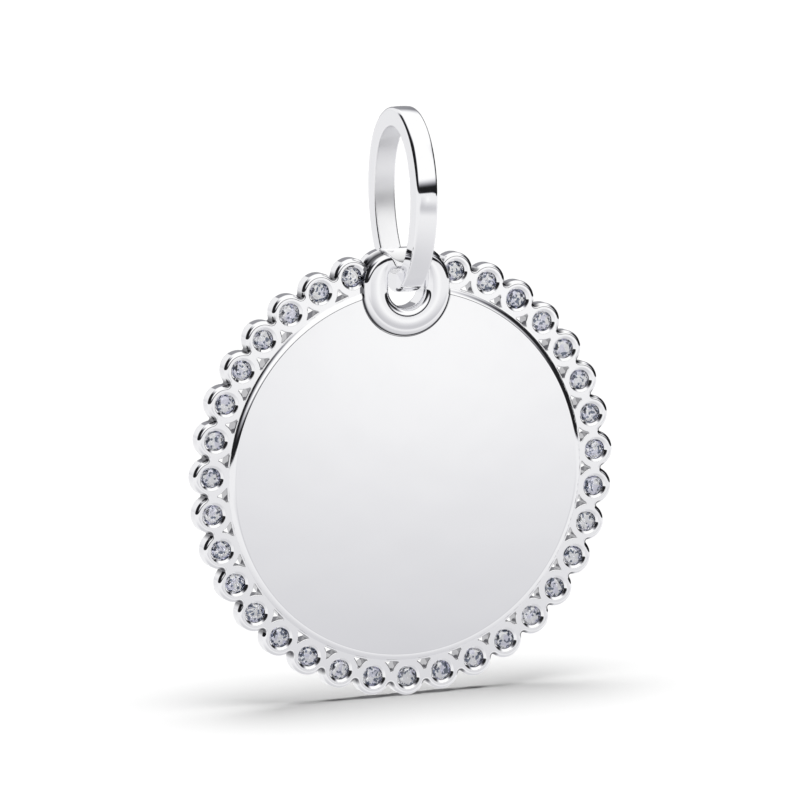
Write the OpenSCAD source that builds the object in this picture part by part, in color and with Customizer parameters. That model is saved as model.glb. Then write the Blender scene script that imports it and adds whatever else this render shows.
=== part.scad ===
// Disc pendant: a polished plate in a rim of round bezels, each holding a
// brilliant-cut stone, hung by a cast eyelet from an oval bail.
// The origin is the inside top of the bail, +Z is up and the front faces -Y.

/* [Rim] */
// Places round the rim at an even pitch, two of them taken by the eyelet
rim_places = 35; // [25:2:41]
// Outer diameter of one bezel
bezel_d = 1.86; // [1.7:0.02:2.2]
// How far neighbouring bezels run into each other
bezel_lap = 0.013; // [0.005:0.001:0.04]
// Thickness of the rim, front to back
rim_t = 0.85; // [0.8:0.05:1.2]
// Chamfer on the front edge of a bezel
bezel_edge = 0.1; // [0.04:0.02:0.14]
// Radial height of the web that joins two bezels
web_h = 0.55; // [0.4:0.05:0.7]
// Width of that web
web_w = 0.2; // [0.15:0.05:0.3]

/* [Plate] */
// How far the edge of the plate runs into the bezels
plate_lap = 0.06; // [0.03:0.01:0.09]
// How far its polished face stands out in front of the bezels
face_rise = 0.15; // [0.1:0.01:0.2]
// How far that face stays inside the edge of the plate
face_inset = 0.08; // [0.04:0.01:0.1]
// Radius to which the edge of the face rolls off
roll_r = 1.2; // [1:0.1:2]
// Width of that rolled edge
roll_w = 0.35; // [0.2:0.05:0.4]

/* [Stones] */
// Diameter of a stone at its girdle
stone_d = 1; // [0.8:0.05:1.1]
// Diameter across the corners of its table
table_d = 0.6; // [0.45:0.05:0.65]
// Height of the crown, from girdle to table
crown_h = 0.16; // [0.1:0.01:0.2]
// Height of the girdle
girdle_h = 0.03; // [0.02:0.01:0.05]
// Depth of the pavilion, from girdle to point
pavilion_h = 0.43; // [0.38:0.01:0.46]
// How far the table lies below the front of its bezel
table_sink = 0.06; // [0.02:0.01:0.1]
// Clearance all round a stone in its seat
stone_gap = 0.03; // [0.02:0.01:0.04]
// How much wider the mouth of a recess is than its seat
mouth_flare = 0.14; // [0.06:0.02:0.2]
// Diameter of the hole behind a stone
back_hole_d = 0.5; // [0.3:0.05:0.6]

/* [Eyelet] */
// Clear width of the eyelet
eye_hole_d = 1.9; // [1.8:0.05:2.1]
// Clearance between the eyelet and the stones beside it
eye_gap = 0.025; // [0.02:0.005:0.1]
// Height of the square upper half of its opening
window_h = 1; // [0.9:0.02:1.1]
// Radius of the upper corners of that opening
window_corner_r = 0.3; // [0.1:0.05:0.5]
// How far the centre of the eyelet lies inside the edge of the plate
eye_inset = 0.19; // [0:0.01:0.4]
// How far the eyelet stands out behind the rim
eye_proud = 0.025; // [0.01:0.005:0.1]
// How much is filed off the top of the eyelet
eye_flat = 0.34; // [0.1:0.02:0.4]
// Radius of the scoop in the front of its top, where the bail swings
scoop_r = 1.2; // [0.9:0.05:1.3]
// Height of the metal under the scoop
scoop_floor = 0.3; // [0.2:0.02:0.4]
// Thickness of the metal behind the scoop
scoop_wall = 0.6; // [0.5:0.05:0.7]
// Radius of the rounded shoulder behind each side of its top
shoulder_r = 0.5; // [0.35:0.05:0.6]
// How far a shoulder stays inside the side of the eyelet
shoulder_inset = 0.38; // [0.2:0.02:0.5]
// How far a shoulder stays under the top of the eyelet
shoulder_drop = 0.13; // [0.06:0.01:0.2]

/* [Bail] */
// Height of the bail over all
bail_h = 9.2; // [8:0.1:12]
// Depth of the bail over all, front to back
bail_d = 6.5; // [5.6:0.1:8]
// Thickness of its band, from inside to outside
bail_t = 0.95; // [0.8:0.05:1]
// Width of its band
bail_w = 1.1; // [0.8:0.05:1.2]
// How much fuller the oval is above its middle, as a share
bail_fullness = 0.08; // [0:0.01:0.12]
// Clearance under the top of the eyelet, in which the bail turns
bail_gap = 0.26; // [0.24:0.02:0.3]

/* [Hidden] */
$fn = 64;
// Overrun of a cut past the face that it starts from; a raised part runs in by half of it
cut_over = 0.05;
// Steps in the arc of the rolled edge, and sides of the oval
roll_steps = 6;
oval_sides = 72;
// Faces round the crown, and the places of its inner corners
crown_sides = 8;
star_share = 0.5;
lower_share = 0.25;

stone_n = rim_places - 2;
first_place = -(stone_n - 1) / 2;
rim_pitch = 360 / rim_places;
bezel_r = bezel_d / 2;
ring_r = (bezel_r - bezel_lap / 2) / sin(rim_pitch / 2);
plate_r = ring_r - bezel_r + plate_lap;
face_r = plate_r - face_inset;

stone_r = stone_d / 2;
table_r = table_d / 2;
girdle_top = table_sink + crown_h;
girdle_low = girdle_top + girdle_h;
stone_tip = girdle_low + pavilion_h;
seat_r = stone_r + stone_gap;
back_hole_r = back_hole_d / 2;

eye_rise = plate_r - eye_inset;
// From the centre of the eyelet to the first stone on either side of it
eye_angle = 180 + first_place * rim_pitch;
eye_to_stone = norm([ring_r * sin(eye_angle), ring_r * cos(eye_angle) - eye_rise]);
eye_r = eye_to_stone - stone_r - eye_gap;
eye_bar_r = (eye_r - eye_hole_d / 2) / 2;
eye_path_r = eye_r - eye_bar_r;
eye_mid = rim_t + eye_proud - eye_bar_r;
eye_top = eye_r - eye_flat;
scoop_back = rim_t + eye_proud - scoop_wall;

bail_mid_z = bail_t - bail_h / 2;
bail_low_z = bail_t * 2 - bail_h;
eye_z = bail_low_z + bail_gap - window_h;
disc_z = eye_z - eye_rise;

function stone_name(i) = str("stone_", i < 10 ? "0" : "", i);

// Turns what stands along +Z round to lie along +Y, from front to back
module front_to_back() {
    rotate([-90, 0, 0]) children();
}

// The frame of the disc: its centre, with the fronts of the bezels at y = 0
module on_disc() {
    translate([0, -eye_mid, disc_z]) children();
}

// The frame of one place on the rim, counted from the bottom
module at_place(k) {
    rotate([0, -k * rim_pitch, 0]) translate([0, 0, -ring_r]) children();
}

module plate_blank() {
    front_to_back() cylinder(r = plate_r, h = rim_t);
}

module bezel_blank() {
    front_to_back() {
        cylinder(r1 = bezel_r - bezel_edge, r2 = bezel_r, h = bezel_edge);
        translate([0, 0, bezel_edge]) cylinder(r = bezel_r, h = rim_t - bezel_edge);
    }
}

module web() {
    translate([-web_w / 2, bezel_edge, -web_h / 2]) cube([web_w, rim_t - bezel_edge, web_h]);
}

// The polished face, which stands out a little and rolls off at its edge
module face() {
    roll = [for (i = [0 : roll_steps])
        let (a = asin(roll_w / roll_r) * i / roll_steps)
        [face_r - roll_w + roll_r * sin(a), roll_r * (1 - cos(a)) - face_rise]];
    front_to_back() rotate_extrude() polygon(concat(
        [[0, cut_over / 2], [0, -face_rise]], roll, [[face_r, cut_over / 2]]));
}

// A recess that narrows to the girdle, a cone for the pavilion and a hole
module stone_seat() {
    flare = mouth_flare / 2 / girdle_top;
    cone_end = girdle_low + stone_gap + (seat_r - back_hole_r) * pavilion_h / stone_r;
    front_to_back() rotate_extrude() polygon([
        [0, -cut_over],
        [seat_r + flare * (girdle_top + cut_over), -cut_over],
        [seat_r, girdle_top],
        [seat_r, girdle_low + stone_gap],
        [back_hole_r, cone_end],
        [back_hole_r, rim_t + cut_over],
        [0, rim_t + cut_over]]);
}

// Clears the plate out of the middle of the eyelet
module eyelet_opening() {
    translate([0, -face_rise - cut_over, eye_rise])
        front_to_back() cylinder(r = eye_path_r, h = rim_t + face_rise + 2 * cut_over);
}

module shoulder(side) {
    translate([side * (eye_r - shoulder_inset - shoulder_r), eye_mid,
        eye_top - shoulder_drop - shoulder_r])
        front_to_back() cylinder(r = shoulder_r, h = rim_t - eye_mid);
}

// The square upper half of the opening, through the whole bar
module window() {
    half_w = eye_hole_d / 2;
    front = eye_mid - eye_bar_r - cut_over;
    depth = 2 * (eye_bar_r + cut_over);
    translate([-half_w, front, 0]) cube([2 * half_w, depth, window_h - window_corner_r]);
    translate([window_corner_r - half_w, front, 0])
        cube([2 * (half_w - window_corner_r), depth, window_h]);
    for (side = [-1, 1])
        translate([side * (half_w - window_corner_r), front, window_h - window_corner_r])
            front_to_back() cylinder(r = window_corner_r, h = depth);
}

module scoop() {
    front = eye_mid - eye_bar_r - cut_over;
    translate([0, front, window_h + scoop_floor + scoop_r])
        front_to_back() cylinder(r = scoop_r, h = scoop_back - front);
}

// A ring of round bar, with its opening squared and its top filed flat and
// scooped out in front, and a shoulder behind each side
module eyelet() {
    translate([0, 0, eye_rise]) difference() {
        union() {
            translate([0, eye_mid, 0]) front_to_back() rotate_extrude()
                translate([eye_path_r, 0]) circle(r = eye_bar_r);
            for (side = [-1, 1]) shoulder(side);
        }
        window();
        scoop();
        translate([-eye_r, eye_mid - 2 * eye_bar_r, eye_top])
            cube([2 * eye_r, 4 * eye_bar_r, 2 * eye_bar_r]);
    }
}

// Plate, rim and eyelet, cast and soldered as one solid
module medallion() {
    color("silver") on_disc() union() {
        difference() {
            union() {
                plate_blank();
                face();
                for (i = [0 : stone_n - 1]) at_place(first_place + i) bezel_blank();
                for (i = [0 : stone_n - 2]) at_place(first_place + i + 0.5) web();
            }
            eyelet_opening();
            for (i = [0 : stone_n - 1]) at_place(first_place + i) stone_seat();
        }
        eyelet();
    }
}

// An oval that is fuller above its middle
function oval(half_d, half_h) = [for (i = [0 : oval_sides - 1])
    let (a = 360 * i / oval_sides)
    [half_d * cos(a) * (1 + bail_fullness * sin(a)), half_h * sin(a)]];

module bail() {
    color("silver") translate([0, 0, bail_mid_z]) rotate([90, 0, 90])
        linear_extrude(height = bail_w, center = true) difference() {
            polygon(oval(bail_d / 2, bail_h / 2));
            polygon(oval(bail_d / 2 - bail_t, bail_h / 2 - bail_t));
        }
}

// A ring of points at one depth, the first one turned by a share of a step
function facet_ring(r, depth, n, turn = 0) = [for (i = [0 : n - 1])
    let (a = 360 * (i + turn) / n) [r * sin(a), depth, r * cos(a)]];

// A round brilliant: table, stars, kites, halves and girdle above, and
// halves and mains that meet in a point below
module brilliant() {
    n = crown_sides;
    half = cos(180 / n);
    star_r = table_r * half + star_share * (stone_r - table_r * half);
    star_depth = table_sink + crown_h * (star_r * half - table_r) / (stone_r - table_r);
    lower_r = stone_r * lower_share;
    lower_depth = stone_tip - pavilion_h * lower_share * half;
    points = concat(
        facet_ring(table_r, table_sink, n),
        facet_ring(star_r, star_depth, n, 0.5),
        facet_ring(stone_r, girdle_top, 2 * n),
        facet_ring(stone_r, girdle_low, 2 * n),
        facet_ring(lower_r, lower_depth, n, 0.5),
        [[0, stone_tip, 0]]);
    star = n;
    girdle = 2 * n;
    under = 4 * n;
    lower = 6 * n;
    tip = 7 * n;
    faces = concat(
        [[for (i = [0 : n - 1]) i]],
        [for (i = [0 : n - 1]) [i, star + i, (i + 1) % n]],
        [for (i = [0 : n - 1]) [i, star + (i + n - 1) % n, girdle + 2 * i, star + i]],
        [for (i = [0 : n - 1], s = [0, 1])
            [star + i, girdle + 2 * i + s, girdle + (2 * i + 1 + s) % (2 * n)]],
        [for (j = [0 : 2 * n - 1])
            [girdle + j, under + j, under + (j + 1) % (2 * n), girdle + (j + 1) % (2 * n)]],
        [for (i = [0 : n - 1], s = [0, 1])
            [lower + i, under + (2 * i + 1 + s) % (2 * n), under + 2 * i + s]],
        [for (i = [0 : n - 1]) [tip, lower + i, under + 2 * i, lower + (i + n - 1) % n]]);
    polyhedron(points = points, faces = faces);
}

module stone(i) {
    color("aliceblue") on_disc() at_place(first_place + i - 1) brilliant();
}

medallion();
bail();
for (i = [1 : stone_n]) stone(i);
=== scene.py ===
import bmesh
import bpy
import numpy as np
from mathutils import Matrix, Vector
from mathutils.geometry import delaunay_2d_cdt


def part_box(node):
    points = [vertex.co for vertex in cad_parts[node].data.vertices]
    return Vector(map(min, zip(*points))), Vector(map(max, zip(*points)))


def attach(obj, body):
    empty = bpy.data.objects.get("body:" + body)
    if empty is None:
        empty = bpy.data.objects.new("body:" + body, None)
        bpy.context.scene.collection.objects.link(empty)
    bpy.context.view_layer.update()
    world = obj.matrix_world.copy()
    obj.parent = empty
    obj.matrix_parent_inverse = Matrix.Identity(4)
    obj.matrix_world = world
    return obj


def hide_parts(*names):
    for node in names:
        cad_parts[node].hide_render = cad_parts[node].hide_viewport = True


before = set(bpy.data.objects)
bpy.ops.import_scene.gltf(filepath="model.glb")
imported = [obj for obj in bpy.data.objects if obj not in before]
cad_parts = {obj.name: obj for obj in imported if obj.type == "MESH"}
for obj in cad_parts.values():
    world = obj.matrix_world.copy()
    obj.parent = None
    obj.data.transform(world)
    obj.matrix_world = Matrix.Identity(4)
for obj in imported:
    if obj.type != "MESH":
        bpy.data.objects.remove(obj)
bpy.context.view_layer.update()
print("frame loaded:", len(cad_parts), "nodes")

millimetre = 0.001  # Blender counts in metres, and the lengths below are in millimetres
stoneNames = sorted(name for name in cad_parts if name.startswith("stone_"))


def boxOf(node):  # lowest and highest corner of a solid of the frame
    return [np.array(corner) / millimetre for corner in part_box(node)]


# the rim: its places stand at an even pitch, two of them left out for the eyelet
rim = {
    "places": 35,
    "tableSink": 0.06,  # from the front of a bezel to the table of its stone
    "thickness": 0.85,
    "bezel": 0.93,  # radius of a bezel
    "web": (0.1, 0.275),  # half width and half height of a web between two bezels
    "gapFoot": 0.81,  # from the middle of a bezel in to the feet of the pierced gaps
    "plateEdge": 0.89,  # to the edge of the raised plate
    "ringEdge": 0.94,  # and to the inside of the rim, under the plate
    "notchSoft": 0.13,  # fillets outside, between two bezels
    "gapSoft": 0.07,  # and in the corners of the pierced gaps
    "edge": 0.19,  # rounding of the front outside
    "gapEdge": 0.045,  # and of the pierced gaps, in front and behind
    "gapBackEdge": 0.028,
    "notchPaintedShade": 0.9,  # painted shade in the notches between two bezels
    "notchReach": (0.03, 0.11),  # share of the pitch over which that fades
    "notchFrom": 0.01,  # depth at which it starts
    # painted shade on the walls of the pierced gaps
    "gapPaintedShade": 0.45,
    "innerEdge": 0.02,  # rounding inside, under the plate
    "backEdge": 0.08,
    "ends": 10.3,  # degrees from the top at which it ends inside the eyelet
    "endFade": (6, 0.1),  # points over which its roundings grow at its ends, and from what share
    "gapMiddle": 0.7,  # from the middle of a bezel in to the middle of a gap
    "reach": (1.2, 1),  # farther than a bezel, and the side of a gap, are from their middles
    "rays": (24001, 1200),  # that find its outside, and a gap
    "points": (1560, 480, 54),  # round its outside, its inside and each gap
}
pitch = 2 * np.pi / rim["places"]
placeAngles = (np.arange(len(stoneNames)) - (len(stoneNames) - 1) / 2) * pitch  # from the bottom
firstMiddle = sum(boxOf(stoneNames[0])) / 2
lowestMiddle = sum(boxOf(stoneNames[len(stoneNames) // 2])) / 2
ringRadius = firstMiddle[0] / np.sin(placeAngles[0])
discCentre = np.array([0, boxOf(stoneNames[0])[0][1] - rim["tableSink"], lowestMiddle[2] + ringRadius])
print("rim of", len(stoneNames), "places, radius", round(float(ringRadius), 3), "mm")


class Field:
    # a socket that can be used in Python sums; each operator adds one Math node
    def __init__(self, tree, socket):
        self.tree, self.socket = tree, socket

    def math(self, operation, *others):
        return make(self.tree, "Math", {"operation": operation}, dict(enumerate((self, *others))))

    def __add__(self, other):
        return self.math("ADD", other)

    def __sub__(self, other):
        return self.math("SUBTRACT", other)

    def __mul__(self, other):
        return self.math("MULTIPLY", other)

    def __rsub__(self, other):
        return make(self.tree, "Math", {"operation": "SUBTRACT"}, {0: other, 1: self})

    __radd__ = __add__
    __rmul__ = __mul__

    def step(self, low, high):  # 0 below low and 1 above high, smooth in between
        return make(self.tree, "MapRange", {"interpolation_type": "SMOOTHSTEP"},
                    {"Value": self, "From Min": low, "From Max": high})


def make(tree, kind, settings=None, sockets=None, output=0):
    # a shader node: its settings first, then the values or links of its sockets
    node = tree.nodes.new("ShaderNode" + kind)
    for name, value in (settings or {}).items():
        setattr(node, name, value)
    for name, value in (sockets or {}).items():
        if isinstance(value, Field):
            tree.links.new(value.socket, node.inputs[name])
        else:
            node.inputs[name].default_value = value
    return Field(tree, node.outputs[output]) if node.outputs else None


def newMaterial(name):  # with no nodes yet
    material = bpy.data.materials.new(name)
    material.use_nodes = True
    material.node_tree.nodes.clear()
    return material, material.node_tree


def unit(vectors):  # each divided by its length
    return vectors / np.linalg.norm(vectors, axis=-1, keepdims=True)


def smoothCorners(corners, radii, steps=6, pad=0.012, closed=True):
    # each corner becomes an arc of its radius that touches both sides; one more point
    # just past each end of an arc keeps the shading of the straight sides flat
    p = np.array(corners, float)
    r = np.broadcast_to(np.array(radii, float), len(p))
    toLast, toNext = unit(np.roll(p, 1, 0) - p), unit(np.roll(p, -1, 0) - p)
    half = np.arccos(np.clip((toLast * toNext).sum(-1), -1, 1)) / 2
    reach, turn = r / np.tan(half), np.pi - 2 * half
    middle = p + unit(toLast + toNext) * (r / np.sin(half))[:, None]
    share = np.linspace(0, 1, steps + 1)
    fromLast = (np.sin(np.outer(turn, 1 - share)) / np.sin(turn)[:, None])[..., None]
    fromNext = (np.sin(np.outer(turn, share)) / np.sin(turn)[:, None])[..., None]
    arcs = (middle[:, None] + fromLast * (p + toLast * reach[:, None] - middle)[:, None]
            + fromNext * (p + toNext * reach[:, None] - middle)[:, None])
    before = (p + toLast * (reach + pad)[:, None])[:, None]
    after = (p + toNext * (reach + pad)[:, None])[:, None]
    rows = np.concatenate([before, arcs, after], 1)
    if closed:
        return rows.reshape(-1, 2)
    return np.concatenate([p[:1], rows[1:-1].reshape(-1, 2), p[-1:]])


def spin(profile, count):  # (radius, depth) turned about the Y axis: (r sin a, depth, r cos a)
    a = np.linspace(0, 2 * np.pi, count, endpoint=False)[:, None]
    r, depth = profile[:, 0], profile[:, 1]
    return np.stack([r * np.sin(a), depth + 0 * a, r * np.cos(a)], -1)


def gridQuads(ids, closed=True):
    # quads between neighbours of a grid of numbers (copies, rows, columns) whose rows
    # close on themselves, and whose columns do too where it is closed
    after = np.roll(ids, -1, 1)
    if closed:
        return np.stack([ids, after, np.roll(after, -1, 2), np.roll(ids, -1, 2)], -1).reshape(-1, 4)
    return np.stack([ids[..., :-1], after[..., :-1], after[..., 1:], ids[..., 1:]], -1).reshape(-1, 4)


def addPiece(name, points, faces, body, node, material, marks):
    # a mesh of silver that rides on a body and stands for a solid; marks are the values at
    # its points of the attributes that its material reads
    mesh = bpy.data.meshes.new(name)
    mesh.from_pydata((np.asarray(points).reshape(-1, 3) * millimetre).tolist(), [], faces)
    for markName, values in marks.items():
        mark = mesh.attributes.new(markName, "FLOAT", "POINT")
        mark.data.foreach_set("value", np.asarray(values, np.float32).ravel())
    work = bmesh.new()
    work.from_mesh(mesh)
    loose = [vertex for vertex in work.verts if not vertex.link_faces]
    bmesh.ops.delete(work, geom=loose, context="VERTS")
    bmesh.ops.recalc_face_normals(work, faces=work.faces)
    openEdges = sum(not edge.is_manifold for edge in work.edges)
    work.to_mesh(mesh)
    work.free()
    mesh.shade_smooth()
    mesh.materials.append(material)
    piece = bpy.data.objects.new(name, mesh)
    bpy.context.scene.collection.objects.link(piece)
    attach(piece, body)
    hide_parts(node)
    print(name, len(mesh.polygons), "faces,", openEdges, "open edges")


def atPlaces(points, angles):
    # points are (across, depth, outward) from the middle of a place; each copy turns with
    # its place: x = (R + outward) sin a + across cos a, z = -(R + outward) cos a + across sin a
    across, depth, outward = np.moveaxis(points, -1, 0)
    a = angles.reshape(-1, *(1,) * across.ndim)
    radial = ringRadius + outward
    return np.stack([radial * np.sin(a) + across * np.cos(a), depth + 0 * a,
                     across * np.sin(a) - radial * np.cos(a)], -1)


def softStep(value, low, high):  # 0 below low and 1 above high, smooth in between
    t = np.clip((value - low) / (high - low), 0, 1)
    return t * t * (3 - 2 * t)


def smoothLeast(a, b, soft):
    # the lesser of two distances, blended where they are alike
    h = np.clip(0.5 + 0.5 * (b - a) / soft, 0, 1)
    return b + (a - b) * h - soft * h * (1 - h)


def rimDistance(x, z, soft, outside):
    # how far a point is from the metal of the rim, below 0 inside it; x is across from the
    # line between two bezels and z outward from the middle of the disc
    x = np.abs(x)
    middle = ringRadius * np.array([np.sin(pitch / 2), np.cos(pitch / 2)])
    discs = smoothLeast(np.hypot(x - middle[0], z - middle[1]) - rim["bezel"],
                        np.hypot(x + middle[0], z - middle[1]) - rim["bezel"], soft)
    sides = np.stack([x - rim["web"][0], np.abs(z - ringRadius) - rim["web"][1]])
    web = np.hypot(*np.maximum(sides, 0)) + np.minimum(sides.max(0), 0)
    both = smoothLeast(discs, web, soft)
    if outside:
        return both
    return smoothLeast(both, np.hypot(x, z) - (ringRadius - rim["gapFoot"]), soft)


def halving(inside, low, high, rounds=40):
    # for each ray, the length at which a test that holds at low no longer does
    for _ in range(rounds):
        middle = (low + high) / 2
        holds = inside(middle)
        low, high = np.where(holds, middle, low), np.where(holds, high, middle)
    return low


def resample(line, count, closed=True):
    # points at even distances along a line
    if closed:
        line = np.concatenate([line, line[:1]])
    length = np.concatenate([[0], np.cumsum(np.hypot(*np.diff(line, axis=0).T))])
    at = np.linspace(0, length[-1], count, endpoint=not closed)
    return np.stack([np.interp(at, length, line[:, 0]), np.interp(at, length, line[:, 1])], -1)


def walled(loop, edge, backEdge, steps=6, support=0.008, backSteps=3):
    # a rounded edge, wall and rounded back edge, carried along a loop (x, z) whose metal
    # lies on its left: inward = e (1 - sin a), depth = e (1 - cos a), and the same behind;
    # rows of points at the support's distance keep the shading of the flat parts flat
    along = unit(np.roll(loop, -1, 0) - np.roll(loop, 1, 0))
    left = np.stack([-along[:, 1], along[:, 0]], -1)
    e = np.broadcast_to(np.asarray(edge, float), len(loop))[:, None]
    backEdge = np.broadcast_to(np.asarray(backEdge, float), len(loop))[:, None]
    a = np.linspace(0, np.pi / 2, steps + 1)
    b = np.linspace(0, np.pi / 2, backSteps + 1)
    back, flat = rim["thickness"], 0 * e
    inward = np.concatenate([e + support, e * (1 - np.sin(a)), flat, flat,
                             backEdge * (1 - np.cos(b)) + flat, backEdge + support + flat], 1)
    depth = np.concatenate([flat, e * (1 - np.cos(a)), e + support, back - backEdge - support + flat,
                            back - backEdge * (1 - np.sin(b)) + flat, back + flat], 1)
    x, z = loop[:, :1] + left[:, :1] * inward, loop[:, 1:] + left[:, 1:] * inward
    return np.stack([x, depth, z], -1)


def fillBetween(points, loops, batches=40, merge=1e-7):
    # triangles of a flat face between closed loops of point numbers: those whose middle
    # has an odd number of loop edges to its right, counted in batches to save memory
    ids = np.concatenate(loops)
    flat = points[ids][:, [0, 2]]
    starts = np.cumsum([0] + [len(loop) for loop in loops[:-1]])
    edges = np.concatenate([np.stack([np.arange(len(loop)), np.roll(np.arange(len(loop)), -1)], -1) + start
                            for loop, start in zip(loops, starts)])
    made = delaunay_2d_cdt(flat.tolist(), edges.tolist(), [], 0, merge)
    triangles = np.array([made[3][corner][0] for face in made[2] for corner in face]).reshape(-1, 3)
    middles = flat[triangles].mean(1)
    (x0, z0), (x1, z1) = flat[edges[:, 0]].T, flat[edges[:, 1]].T
    keep = []
    for x, z in (part.T[..., None] for part in np.array_split(middles, batches)):
        spans = (z0 > z) != (z1 > z)
        crossing = x0 + (z - z0) * (x1 - x0) / np.where(z1 == z0, 1, z1 - z0)
        keep.append((spans & (crossing > x)).sum(1) % 2 == 1)
    return ids[triangles[np.concatenate(keep)]]


# polished silver: a clear mirror with the faint haze and waviness of hand polishing,
# duller where a piece is marked dull, and darkened by painted shade where it is marked for it
silver = {
    "colour": (0.955, 0.955, 0.965, 1),
    # colour of the painted shade, which stands for the shade in creases, gaps and recesses
    "paintedShade": (0.06, 0.06, 0.07, 1),
    "roughness": 0.04,
    "haze": 0.03,  # how much rougher the hazy patches are
    "hazeSize": 900,  # noise scale, per metre
    "hazeShare": (0.45, 0.75),  # of the noise, between which a patch turns hazy
    "dull": 0.26,  # roughness added by the mark
    "waves": 0.004,  # strength of the waviness
    "waveSize": 350,
}


def silverMaterial():
    material, tree = newMaterial("polishedSilver")
    where = make(tree, "TexCoord", output="Object")
    haze = make(tree, "TexNoise", None, {"Vector": where, "Scale": silver["hazeSize"], "Detail": 3})
    wave = make(tree, "TexNoise", None, {"Vector": where, "Scale": silver["waveSize"], "Detail": 1})
    dull = make(tree, "Attribute", {"attribute_name": "dull"}, output="Fac")
    # painted shade: how far each point is darkened towards that colour
    paintedShade = make(tree, "Attribute", {"attribute_name": "paintedShade"}, output="Fac")
    bump = make(tree, "Bump", None, {"Height": wave, "Strength": silver["waves"], "Distance": millimetre})
    colour = make(tree, "Mix", {"data_type": "RGBA"}, {
        "Factor": paintedShade, "A": silver["colour"], "B": silver["paintedShade"]}, "Result")
    shader = make(tree, "BsdfPrincipled", None, {
        "Base Color": colour,
        "Metallic": 1,
        "Roughness": haze.step(*silver["hazeShare"]) * silver["haze"] + dull * silver["dull"]
        + silver["roughness"],
        "Normal": bump,
    })
    make(tree, "OutputMaterial", None, {"Surface": shader})
    return material


# cut stones: clear, with painted fire of lilac and blue patches, and cells of painted shade
gem = {
    "index": 2.16,
    "clear": (1, 1, 1, 1),
    # painted fire: lilac and blue patches that stand for the coloured glints of the cut
    "paintedFire": (0.86, 0.86, 0.97, 1),
    "paintedFireSize": 2600,  # noise scale, per metre
    "paintedFireShare": (0.5, 0.62),
    # painted shade: dark cells that stand for facets reflecting the dark parts of the studio
    "shade": (0.16, 0.19, 0.26, 1),
    "shadeSize": 8500,
    "shadeShare": (0.74, 0.77),  # of the cells, above which they are shaded
    "mirrored": 0.55,  # share of the light that the facets send straight back
}


def gemMaterial():
    material, tree = newMaterial("clearStone")
    where = make(tree, "TexCoord", output="Object")
    patches = make(tree, "TexNoise", None, {"Vector": where, "Scale": gem["paintedFireSize"], "Detail": 0})
    colour = make(tree, "Mix", {"data_type": "RGBA"},
                  {"Factor": patches.step(*gem["paintedFireShare"]), "A": gem["clear"], "B": gem["paintedFire"]}, "Result")
    # painted shade of the dark facets, in cells over the painted fire
    cells = make(tree, "TexVoronoi", None, {"Vector": where, "Scale": gem["shadeSize"]}, "Color")
    cell = make(tree, "SeparateColor", None, {"Color": cells})
    colour = make(tree, "Mix", {"data_type": "RGBA"},
                  {"Factor": cell.step(*gem["shadeShare"]), "A": colour, "B": gem["shade"]}, "Result")
    shader = make(tree, "BsdfPrincipled", None, {
        "Base Color": colour,
        "Metallic": gem["mirrored"],
        "Roughness": 0,
        "IOR": gem["index"],
        "Transmission Weight": 1,
    })
    make(tree, "OutputMaterial", None, {"Surface": shader})
    return material


# a recess: a rounded mouth, a slope down to a lip over the stone, a seat for the girdle, a
# cone for the pavilion and a hole
recess = {
    "mouth": 0.62,
    "mouthEdge": 0.05,
    "land": 0.12,  # how far its points go out on the bezel's front
    "lip": (0.49, 0.1),  # radius and depth
    "lipEdge": 0.02,
    "seatEdge": 0.01,  # and of the cone and the hole
    "seat": (0.51, 0.2),
    "cone": (0.52, 0.28),
    "hole": (0.25, 0.52),
    "backEdge": 0.03,
    "backLand": 0.06,
    "sides": 56,
    "steps": 5,  # of each rounding
    # painted shade deep in each recess, round the stone's seat
    "paintedShade": 0.25,
    "paintedShadeDepths": (0.2, 0.26),  # depths between which painted shade turns it dark
}


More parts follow.
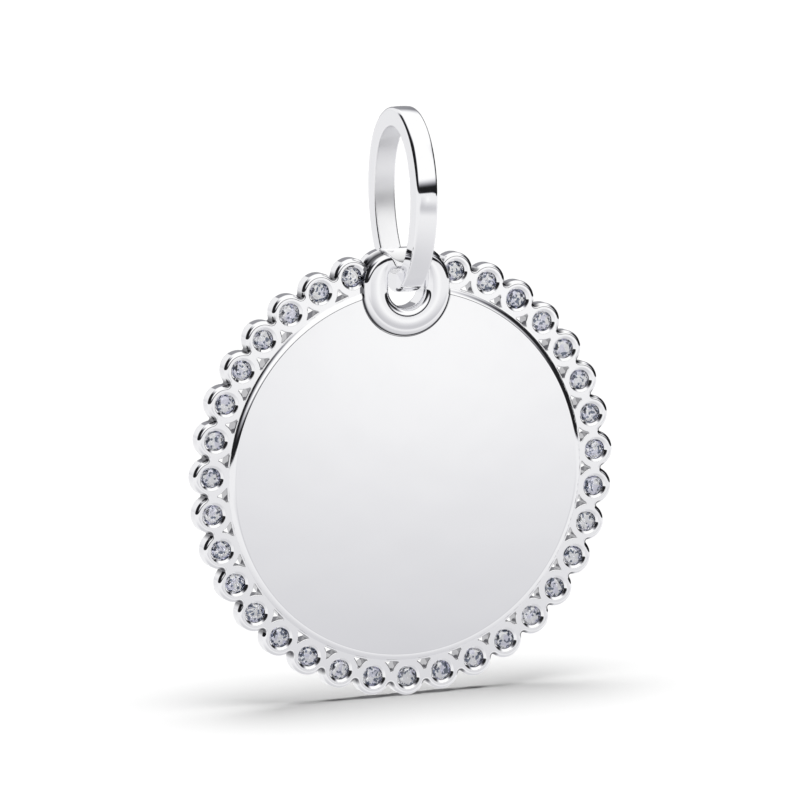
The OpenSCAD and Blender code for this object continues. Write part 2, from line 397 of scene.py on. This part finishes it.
def buildRim(material):
    # one casting: an outline of rounded lobes and an arc, with a pierced gap between each
    # two bezels and a recess in each, walled along their outlines and filled between them
    outerReach, gapReach = rim["reach"]
    outerRays, gapRays = rim["rays"]
    outerPoints, innerPoints, gapPoints = rim["points"]
    ends = np.pi - np.radians(rim["ends"])
    a = np.linspace(-ends, ends, outerRays)
    lobe = np.clip(np.round(a / pitch), placeAngles[0] / pitch, placeAngles[-1] / pitch)
    off = a - lobe * pitch
    # the far halves of the first and last lobes have no neighbour
    alone = (np.abs(lobe * pitch) >= placeAngles[-1] - 1e-6) & (off * lobe > 0)
    fromLine = pitch / 2 - np.abs(off)

    def inLobes(r):
        single = np.hypot(r * np.sin(off), r * np.cos(off) - ringRadius) - rim["bezel"]
        joined = rimDistance(r * np.sin(fromLine), r * np.cos(fromLine), rim["notchSoft"], True)
        return np.where(alone, single, joined) < 0

    r = halving(inLobes, ringRadius * np.cos(off), ringRadius + outerReach + 0 * a)
    outer = resample(np.stack([r * np.sin(a), -r * np.cos(a)], -1), outerPoints, closed=False)
    ringR = ringRadius - rim["ringEdge"]
    b = np.linspace(ends, -ends, innerPoints)
    inner = np.stack([ringR * np.sin(b), -ringR * np.cos(b)], -1)
    fadeOver, fadeFrom = rim["endFade"]
    fromEnd = np.minimum(np.arange(outerPoints), np.arange(outerPoints)[::-1])
    fade = np.clip(fromEnd / fadeOver, fadeFrom, 1)
    innerEdge = np.full(innerPoints, rim["innerEdge"])
    edge = np.concatenate([rim["edge"] * fade, innerEdge])
    backEdge = np.concatenate([rim["backEdge"] * fade, innerEdge])
    outline = walled(np.concatenate([outer, inner]), edge, backEdge)[None]
    # painted shade in the notches between bezels, fading across the pitch, on the outline's walls below the
    # front
    turns = np.arctan2(outer[:, 0], -outer[:, 1]) / pitch - 0.5  # whole between two bezels
    notch = np.abs(np.angle(np.exp(1j * turns * 2 * np.pi))) / 2 / np.pi
    notch = rim["notchPaintedShade"] * (1 - softStep(notch, *rim["notchReach"]))
    outlineShadeMark = np.concatenate([notch, np.zeros(innerPoints)])[:, None]
    outlineShadeMark = outlineShadeMark * (outline[0, :, :, 1] > rim["notchFrom"])

    b = np.linspace(0, 2 * np.pi, gapRays, endpoint=False)
    gapMiddle = ringRadius - rim["gapMiddle"]
    reach = halving(lambda t: rimDistance(t * np.sin(b), gapMiddle + t * np.cos(b),
                                          rim["gapSoft"], False) > 0, 0 * b, gapReach + 0 * b)
    gap = np.stack([reach * np.sin(b), gapMiddle - ringRadius + reach * np.cos(b)], -1)
    gap = walled(resample(gap, gapPoints), rim["gapEdge"], rim["gapBackEdge"],
                 steps=3, support=0.006)
    gaps = atPlaces(gap, (placeAngles[:-1] + placeAngles[1:]) / 2)
    # painted shade on the gaps' walls, behind their front rounding
    gapShadeMark = rim["gapPaintedShade"] * (gap[0, :, 1] > rim["gapEdge"] / 2)

    mouthR, holeR, back = recess["mouth"], recess["hole"][0], rim["thickness"]
    corners = [(mouthR + recess["land"], 0), (mouthR, 0), recess["lip"], recess["seat"],
               recess["cone"], recess["hole"], (holeR, back), (holeR + recess["backLand"], back)]
    radii = [0, recess["mouthEdge"], recess["lipEdge"], *[recess["seatEdge"]] * 3,
             recess["backEdge"], 0]
    profile = smoothCorners(corners, radii, recess["steps"], pad=0.01, closed=False)[1:-1]
    recesses = atPlaces(spin(profile, recess["sides"]), placeAngles)
    # painted shade deep in each recess
    recessShadeMark = recess["paintedShade"] * softStep(profile[:, 1], *recess["paintedShadeDepths"])

    points, quads, fronts, backs, marks, count = [], [], [], [], [], 0
    for grid, mark in ((outline, outlineShadeMark), (gaps, gapShadeMark), (recesses, recessShadeMark)):
        ids = count + np.arange(grid.size // 3).reshape(grid.shape[:-1])
        count += ids.size
        points.append(grid.reshape(-1, 3))
        marks.append((mark + np.zeros(grid.shape[:-1])).ravel())
        quads += gridQuads(ids, closed=False).tolist()
        fronts += list(ids[..., 0])
        backs += list(ids[..., -1])
    points = np.concatenate(points)
    faces = quads + fillBetween(points, fronts).tolist() + fillBetween(points, backs).tolist()
    addPiece("rim", points + discCentre, faces, "pendant", "medallion", material,
             {"paintedShade": np.concatenate(marks)})


# the plate: a raised, faintly crowned mirror whose edge rolls off all round
plate = {
    "rise": 0.15,  # height of its face over the rim
    "crown": 0.05,  # and how much higher its middle is
    "rollStart": (0.25, 0.065),  # radius and width of the first, tighter part of the roll
    "roll": (0.6, 0.25),  # and of the rest of it
    "aroundEyelet": 2.1,  # radius at which it rolls off round the eyelet
    "step": 0.1,  # depth to which its wall runs into the rim
    "creaseShade": (2.31, 2.39),  # from the middle of the eyelet, where the painted shade in the crease beside it fades
    "creaseShadeShift": (0.05, -0.02),  # the painted shade is wider on the lower right
    "lap": 0.004,  # how far it runs into the rim behind
    "sides": 560,
    "gather": 0.88,  # how much closer together they are at the top
    "flatTo": 6.1,  # radius inside which it needs few rings
    "rings": (14, 100, 8, 12),  # in there, out to the roll, and in the roll's two parts
    "squeeze": (0.7, 0.3, 1.5),  # share of the radius from and over which the rings give way
    # to the eyelet, and the power by which they do
}

# the eyelet: a stirrup-shaped ring, rounded in front, with a squarer tab behind its top
eyelet = {
    "inset": 0.25,  # from the feet of the gaps to its middle
    "proud": 0.025,  # how far it stands out behind the rim
    "opening": (0.95, 1.0, 0.3),  # half width, rise and corner radius
    "front": (2.3, 1.82, 1.5),
    "back": (2.3, 1.96, 1.35),
    "depth": 1.35,
    "corners": (0.36, 0.26, 0.1, 0.16),  # inside front, outside front, outside and inside back
    "crown": 0.05,  # of its front
    "tab": (0.16, 0.3),  # the depths between which front turns into back
    "scoop": (2.5, 1.2, 0.275),  # height of its middle, radius, and depth that it reaches
    "scoopSoft": 0.05,  # of the edges of the scoop
    "scoopFade": 0.05,  # and at its back
    "paintedShadeDepths": (-0.36, -0.2),  # depths between which painted shade darkens its outside towards the plate
    "bar": 0.6755,  # half its width
    "around": 320,
    "section": 110,  # points
}
eyeRise = ringRadius - rim["gapFoot"] - eyelet["inset"]
eyeMiddle = rim["thickness"] + eyelet["proud"] - eyelet["depth"] / 2
eyePath = eyelet["opening"][0] + eyelet["bar"]


def buildPlate(material):
    # depth = R1 (1 - cos q) + R2 (cos q - cos p) - crown (1 - (r / R)^2) - rise, where
    # sin q = t / R1 in the first part of the roll and sin p = sin q + (t - w1) / R2 in the
    # rest, and t is how far a point is past the start of the roll, at the rim or at the
    # eyelet; each ray stops under the eyelet, and the back is flat
    a = np.linspace(0, 2 * np.pi, plate["sides"], endpoint=False)[:, None]
    a = a - plate["gather"] * np.sin(a)
    plateR = ringRadius - rim["plateEdge"]
    under = eyePath ** 2 - (eyeRise * np.sin(a)) ** 2
    cut = eyeRise * np.cos(a) - np.sqrt(np.maximum(under, 0))
    edge = np.where((under > 0) & (np.cos(a) > 0), np.minimum(cut, plateR), plateR)
    (startR, startWidth), (rollR, rollWidth) = plate["rollStart"], plate["roll"]
    width = startWidth + rollWidth
    flatRings, outerRings, startRings, rollRings = plate["rings"]
    s = np.concatenate([np.linspace(0, plate["flatTo"], flatRings),
                        np.linspace(plate["flatTo"], plateR - width, outerRings)[1:],
                        np.linspace(plateR - width, plateR - rollWidth, startRings)[1:],
                        plateR - rollWidth * np.cos(np.linspace(0, np.pi / 2, rollRings))[1:]]) / plateR
    squeezeFrom, squeezeOver, squeezePower = plate["squeeze"]
    give = np.clip((s - squeezeFrom) / squeezeOver, 0, 1) ** squeezePower
    r = s * plateR - (plateR - edge) * give
    x, z = r * np.sin(a), r * np.cos(a)
    toEyelet = np.hypot(x, z - eyeRise) - plate["aroundEyelet"]
    t = np.clip(width - np.minimum(plateR - r, toEyelet), 0, width)
    startSine = np.minimum(t, startWidth) / startR
    rollSine = startSine + np.maximum(t - startWidth, 0) / rollR
    startCosine, rollCosine = np.sqrt(1 - startSine ** 2), np.sqrt(1 - rollSine ** 2)
    depth = (startR * (1 - startCosine) + rollR * (startCosine - rollCosine)
             - plate["crown"] * (1 - (r / plateR) ** 2) - plate["rise"])
    behind = edge - rim["ringEdge"] + rim["plateEdge"] + plate["lap"]
    below = np.concatenate([edge, behind, behind, 0.5 * behind, 0 * a], 1)
    x = np.concatenate([x, below * np.sin(a)], 1)
    z = np.concatenate([z, below * np.cos(a)], 1)
    depth = np.concatenate([depth, depth[:, -1:] * 0 + np.array(
        [plate["step"], plate["step"], *[rim["thickness"]] * 3])], 1)
    points = np.stack([x, depth, z], -1)
    # painted shade in the crease round the eyelet, on the plate's face
    creaseShade = np.hypot(x - plate["creaseShadeShift"][0], z - eyeRise - plate["creaseShadeShift"][1])
    creaseShade = (1 - softStep(creaseShade, *plate["creaseShade"])) * (depth < plate["step"])
    ids = np.arange(depth.size).reshape(1, *depth.shape)
    ids[..., 0], ids[..., -1] = ids[0, 0, 0], ids[0, 0, -1]
    quads = gridQuads(ids, closed=False)
    faces = [list(dict.fromkeys(quad)) for quad in quads.tolist()]
    addPiece("plate", points + discCentre, faces, "pendant", "medallion", material,
             {"paintedShade": creaseShade})


def bandSection(wide, deep, radii, count, steps=9, pad=0.02):
    # a rectangle of these half sides with rounded corners, at even distances round it
    corners = [(-wide, -deep), (wide, -deep), (wide, deep), (-wide, deep)]
    return resample(smoothCorners(corners, radii, steps, pad), count)


def stirrup(angle, halfWidth, rise, corner):
    # radius of a half circle of halfWidth that goes on upwards as straight sides, rounded
    # corners and a flat top: the ray at this angle from +X meets each of them in turn
    c, s = np.abs(np.cos(angle)), np.sin(angle)
    middle = np.array([halfWidth - corner, rise - corner])
    along = middle[0] * c + middle[1] * s
    rounded = along + np.sqrt(np.maximum(along ** 2 - (middle ** 2).sum() + corner ** 2, 0))
    side = halfWidth / np.maximum(c, 1e-6)
    top = rise / np.maximum(s, 1e-6)
    radius = np.where(side * s <= middle[1], side, np.where(top * c <= middle[0], top, rounded))
    return np.where(s <= 0, halfWidth, radius)


def buildEyelet(material):
    # a rounded section between the opening and the outline at each angle; the outline
    # grows from front to back, and the scoop takes away what lies in front of its top
    a = np.linspace(0, 2 * np.pi, eyelet["around"], endpoint=False)[:, None]
    bar, half = eyelet["bar"], eyelet["depth"] / 2
    across, depth = bandSection(bar, half, eyelet["corners"], eyelet["section"]).T
    across = across / bar
    depth = depth + np.where(depth < 0, eyelet["crown"] * across ** 2, 0) * (-depth / half) + eyeMiddle
    toBack = softStep(depth, *eyelet["tab"])
    outer = stirrup(a, *eyelet["front"]) * (1 - toBack) + stirrup(a, *eyelet["back"]) * toBack
    inner = stirrup(a, *eyelet["opening"])
    radius = (outer + inner) / 2 + (outer - inner) / 2 * across
    height, reach, scoopBack = eyelet["scoop"]
    inside = reach ** 2 - (height * np.cos(a)) ** 2
    limit = height * np.sin(a) - np.sqrt(np.maximum(inside, 0))
    soft, fade = eyelet["scoopSoft"], eyelet["scoopFade"]
    scooped = -soft * np.log(np.exp(-radius / soft) + np.exp(-limit / soft))
    stay = softStep(depth, scoopBack - fade, scoopBack + fade)
    meetsScoop = (inside > 0) & (np.sin(a) > 0)
    radius = np.where(meetsScoop, scooped * (1 - stay) + radius * stay, radius)
    points = np.stack([radius * np.cos(a), depth + 0 * radius, radius * np.sin(a) + eyeRise], -1)
    faces = gridQuads(np.arange(radius.size).reshape(1, *radius.shape)).tolist()
    # painted shade on the front of its outside, darkening towards the plate
    dark = softStep(depth, *eyelet["paintedShadeDepths"]) * (across > 0) * (1 - toBack) + 0 * radius
    addPiece("eyelet", points + discCentre, faces, "pendant", "medallion", material,
             {"paintedShade": dark})


# the bail: a band bent into an egg-shaped ring, crowned outside and nearly flat inside
bail = {
    "band": 0.95,
    "fullness": 0.08,  # how much wider the ring is above its middle
    "corners": (0.07, 0.07, 0.09, 0.16),  # two inside, then outside right and left
    "crown": 0.035,  # how far the outside falls from its middle to its edges
    "dulled": (0.06, 0.01),  # distances from its inside between which it turns duller
    "around": 320,
    "section": 96,  # points
}


def buildBail(material):
    # a rounded section swept between two ovals (a cos t (1 + k sin t), b sin t), one for the
    # outside of the band and one for its inside, whose polish is duller
    low, high = boxOf("bail")
    middle, half = (low + high) / 2, (high - low) / 2
    thick, wide = bail["band"] / 2, half[0]
    x, out = bandSection(wide, thick, bail["corners"], bail["section"]).T
    fall = bail["crown"] * (x / wide) ** 2 * np.maximum(out, 0) / thick
    share = 0.5 + (out - fall) / bail["band"]
    t = np.linspace(0, 2 * np.pi, bail["around"], endpoint=False)[:, None]
    full = 1 + bail["fullness"] * np.sin(t)
    depthAt = (half[1] + (share - 1) * bail["band"]) * np.cos(t) * full
    heightAt = (half[2] + (share - 1) * bail["band"]) * np.sin(t)
    points = np.stack([x + 0 * depthAt, depthAt, heightAt], -1) + middle
    faces = gridQuads(np.arange(depthAt.size).reshape(1, *depthAt.shape)).tolist()
    dullFrom, dullTo = bail["dulled"]
    dull = softStep(-out, thick - dullFrom, thick - dullTo) + 0 * depthAt
    addPiece("bailRing", points, faces, "bail", "bail", material, {"dull": dull})


polished = silverMaterial()
buildRim(polished)
buildPlate(polished)
buildEyelet(polished)
buildBail(polished)
clearStone = gemMaterial()
for stoneName in stoneNames:
    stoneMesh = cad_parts[stoneName].data
    stoneMesh.materials.clear()
    stoneMesh.materials.append(clearStone)
print("pieces made")

# the camera: where it stands round the disc, and what it aims at, as read from the photograph
view = {
    "azimuth": -22.27,
    "elevation": 8.77,
    "roll": -0.517,
    "distance": 293.3,
    "aim": (-0.322, 3.617),  # right of and above the middle of the disc, in the picture
    "lens": 266.3,
    "sensor": 36,
}


def addCamera():
    turn, lift, roll = np.radians([view["azimuth"], view["elevation"], view["roll"]])
    back = np.array([np.sin(turn) * np.cos(lift), -np.cos(turn) * np.cos(lift), np.sin(lift)])
    right0 = np.array([np.cos(turn), np.sin(turn), 0])
    up0 = np.cross(back, right0)
    right = np.cos(roll) * right0 + np.sin(roll) * up0
    up = np.cos(roll) * up0 - np.sin(roll) * right0
    place = discCentre + view["aim"][0] * right + view["aim"][1] * up + view["distance"] * back
    camera = bpy.data.cameras.new("camera")
    camera.lens, camera.sensor_width = view["lens"], view["sensor"]
    camera.clip_start, camera.clip_end = 0.01, 10
    stand = bpy.data.objects.new("camera", camera)
    matrix = np.eye(4)
    matrix[:3, :3] = np.stack([right, up, back], -1)
    matrix[:3, 3] = place * millimetre
    stand.matrix_world = Matrix(matrix.tolist())
    bpy.context.scene.collection.objects.link(stand)
    bpy.context.scene.camera = stand


# the studio: a pale floor that runs up to the horizon, a white tent above it, and a dark
# gap between the two in front and at the sides, which the silver mirrors as black lines
studio = {
    "floorSize": 3000,
    "floorColour": (0.5, 0.5, 0.5, 1),
    "floorRoughness": 0.9,
    "overhead": 6.6,  # strength of the soft light from above, which only the floor shows
    "overheadSpread": 52,  # degrees
    "floorLight": 0.9,  # of the floor as the silver mirrors it
    "nearFloor": (-65, -18),  # elevations between which it gets duller towards the object
    "nearFloorShade": 0.22,
    "tentLight": 1.05,
    "tentFrom": (-3, 10),  # elevations between which the floor's light turns into the tent's
    "gapBottom": (-2.4, -1.2),  # elevations between which the floor turns dark, in front
    "gapDrop": 3.2,  # how much lower that is on the right
    "rightEdge": (27, 44),  # azimuths between which it drops
    "gapTopFront": (3, 12),  # and the dark turns into the tent, in front
    "gapTopLeft": (42, 66),
    "gapTopRight": (28, 48),
    "left": (-18, -45),  # azimuths between which the front turns into the left side
    "right": (36, 60),
    "leftEnd": (-138, -150),  # azimuths between which the dark ends behind
    "rightEnd": (130, 160),
    "dark": 0.985,
    "darkLeftEnd": 0.15,
    "darkRightEnd": 0.7,
    "blue": 0.1,  # of the half tones
}
patches = [  # middle and half sizes in azimuth and elevation, and how much lighter it is there
    {"middle": (22.8, -6.8), "size": (4.5, 4), "light": 0.09},
    {"middle": (22, -14.5), "size": (60, 7), "light": -0.29},
    {"middle": (14, -9), "size": (8, 7), "light": -0.13},
    {"middle": (-158, -9), "size": (35, 14), "light": -0.06},
]


def addFloor():
    low = min(boxOf(name)[0][2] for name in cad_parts) * millimetre
    size = studio["floorSize"] * millimetre / 2
    mesh = bpy.data.meshes.new("floor")
    corners = [(-size, -size, low), (size, -size, low), (size, size, low), (-size, size, low)]
    mesh.from_pydata(corners, [], [(0, 1, 2, 3)])
    material, tree = newMaterial("paleFloor")
    shader = make(tree, "BsdfPrincipled", None, {
        "Base Color": studio["floorColour"],
        "Roughness": studio["floorRoughness"],
        "Specular IOR Level": 0,
    })
    make(tree, "OutputMaterial", None, {"Surface": shader})
    mesh.materials.append(material)
    floor = bpy.data.objects.new("floor", mesh)
    floor.visible_glossy = False
    bpy.context.scene.collection.objects.link(floor)
    light = bpy.data.lights.new("overhead", "SUN")
    light.energy, light.angle = studio["overhead"], np.radians(studio["overheadSpread"])
    overhead = bpy.data.objects.new("overhead", light)
    overhead.visible_glossy = overhead.visible_transmission = False
    bpy.context.scene.collection.objects.link(overhead)


def addTent():
    world = bpy.data.worlds.new("tent")
    bpy.context.scene.world = world
    world.use_nodes = True
    world.cycles_visibility.diffuse = False  # the floor is lit from above alone
    tree = world.node_tree
    tree.nodes.clear()
    direction = make(tree, "TexCoord", output="Generated")
    parts = make(tree, "SeparateXYZ", None, {"Vector": direction})
    x, y, z = (Field(tree, socket) for socket in parts.socket.node.outputs)
    azimuth = x.math("ARCTAN2", y * -1) * np.degrees(1)
    elevation = z.math("ARCSINE") * np.degrees(1)
    front = 1 - elevation.step(*studio["gapTopFront"])
    left = azimuth.step(*studio["left"]) * (1 - elevation.step(*studio["gapTopLeft"]) - front)
    right = azimuth.step(*studio["right"]) * (1 - elevation.step(*studio["gapTopRight"]) - front)
    dark = (azimuth.step(*studio["leftEnd"]) * (studio["darkLeftEnd"] - studio["dark"])
            + azimuth.step(*studio["rightEnd"]) * (studio["darkRightEnd"] - studio["dark"])
            + studio["dark"])
    lowered = azimuth.step(*studio["rightEdge"]) * studio["gapDrop"] + elevation
    gap = lowered.step(*studio["gapBottom"]) * (front + left + right) * dark
    light = studio["floorLight"]
    for patch in patches:
        across = (azimuth - patch["middle"][0]) * (1 / patch["size"][0])
        above = (elevation - patch["middle"][1]) * (1 / patch["size"][1])
        away = (across * across + above * above).math("SQRT")
        light = (1 - away.step(0, 1)) * patch["light"] + light
    light = light + elevation.step(*studio["tentFrom"]) * (studio["tentLight"] - studio["floorLight"])
    light = light - (1 - elevation.step(*studio["nearFloor"])) * studio["nearFloorShade"]
    light = (1 - gap) * light
    bluer = light + light * (1 - light) * studio["blue"]
    colour = make(tree, "CombineColor", None, {0: light, 1: light, 2: bluer})
    background = make(tree, "Background", None, {"Color": colour})
    make(tree, "OutputWorld", None, {"Surface": background})


addCamera()
addFloor()
addTent()
bpy.context.scene.view_settings.view_transform = "Standard"
bpy.context.scene.cycles.max_bounces = 24
bpy.context.scene.cycles.transmission_bounces = 16
bpy.context.scene.cycles.glossy_bounces = 16
print("studio made")
